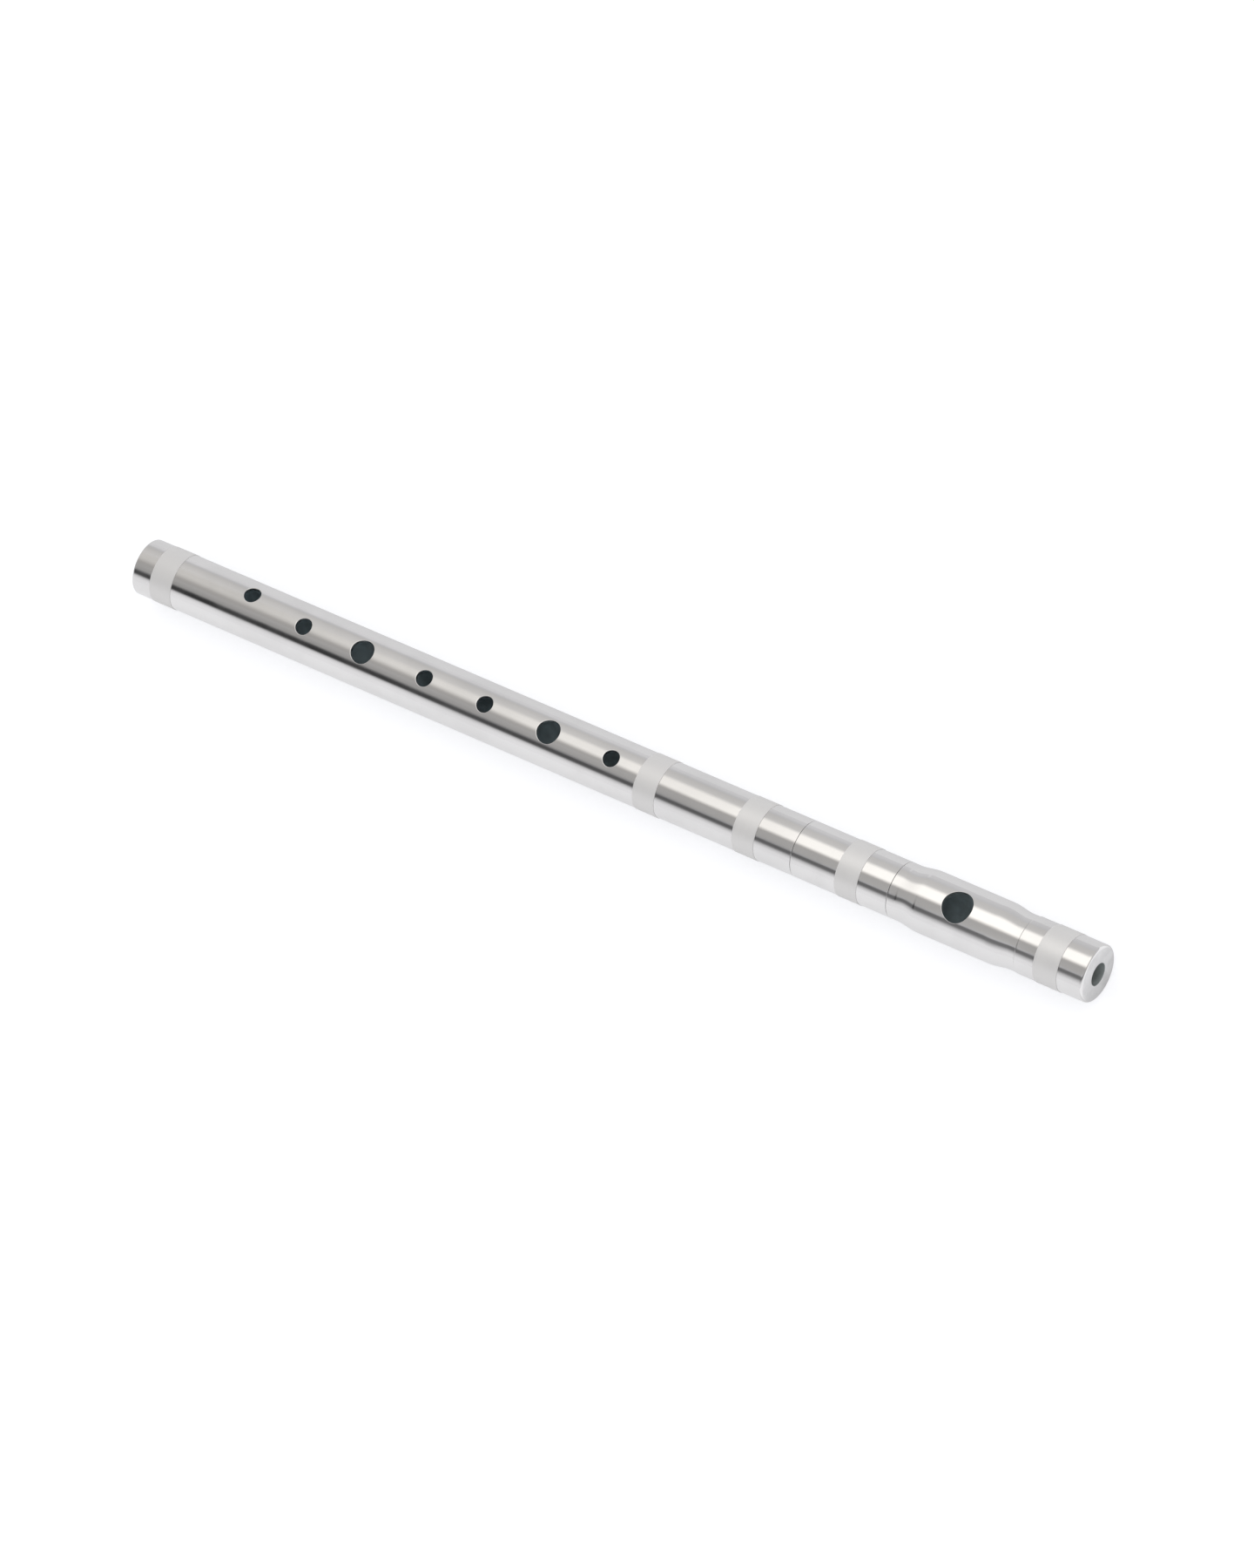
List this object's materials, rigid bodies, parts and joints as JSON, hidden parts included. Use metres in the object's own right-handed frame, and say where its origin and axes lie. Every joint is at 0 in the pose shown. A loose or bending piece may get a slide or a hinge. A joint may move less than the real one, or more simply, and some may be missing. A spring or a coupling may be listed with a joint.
{
  "type": "fife",
  "caption": "Side-blown metal fife with finger holes, a barrel-shaped lip sleeve, satin bands, a tuning slide, a hollow crown and a sliding cork stopper.",
  "frame": {"origin": "on the tube's axis, half way between the foot end and the crown's face, with the tuning slide closed", "axes": "+X along the tube from the foot to the crown, +Z out of the finger holes and the blow hole, +Y the side that the last hole leans towards"},
  "size_m": [0.338, 0.0192, 0.0192],
  "materials": {
    "polished_nickel": "bright nickel plate on brass tube, buffed to a mirror",
    "satin_nickel": "nickel plate, turned to an even satin round the tube",
    "slide_metal": "drawn nickel silver, smooth and unplated",
    "stopper_brass": "turned brass",
    "cork": "natural cork, turned and lightly greased"
  },
  "bodies": {
    "body_joint": {"body_tube": "polished_nickel", "foot_band": "satin_nickel", "body_band": "satin_nickel", "socket_band": "satin_nickel"},
    "tenon": {"tenon_sleeve": "slide_metal"},
    "head_joint": {"head_tube": "polished_nickel", "head_band": "satin_nickel", "lip_sleeve": "polished_nickel", "crown_cap": "polished_nickel", "crown_band": "satin_nickel"},
    "stopper": {"stopper_stem": "stopper_brass", "stopper_cork": "cork", "stopper_washer": "stopper_brass", "stopper_nut": "stopper_brass"}
  },
  "joints": [
    {"name": "tuning_slide", "type": "slide", "parent": "body_joint", "child": "tenon", "axis": [1, 0, 0], "range_m": [0, 0.012]},
    {"name": "head_turn", "type": "hinge", "parent": "tenon", "child": "head_joint", "pos_m": [0.0683, 0, 0], "axis": [1, 0, 0], "continuous": true},
    {"name": "stopper_slide", "type": "slide", "parent": "head_joint", "child": "stopper", "axis": [1, 0, 0], "range_m": [-0.003, 0.003]}
  ]
}
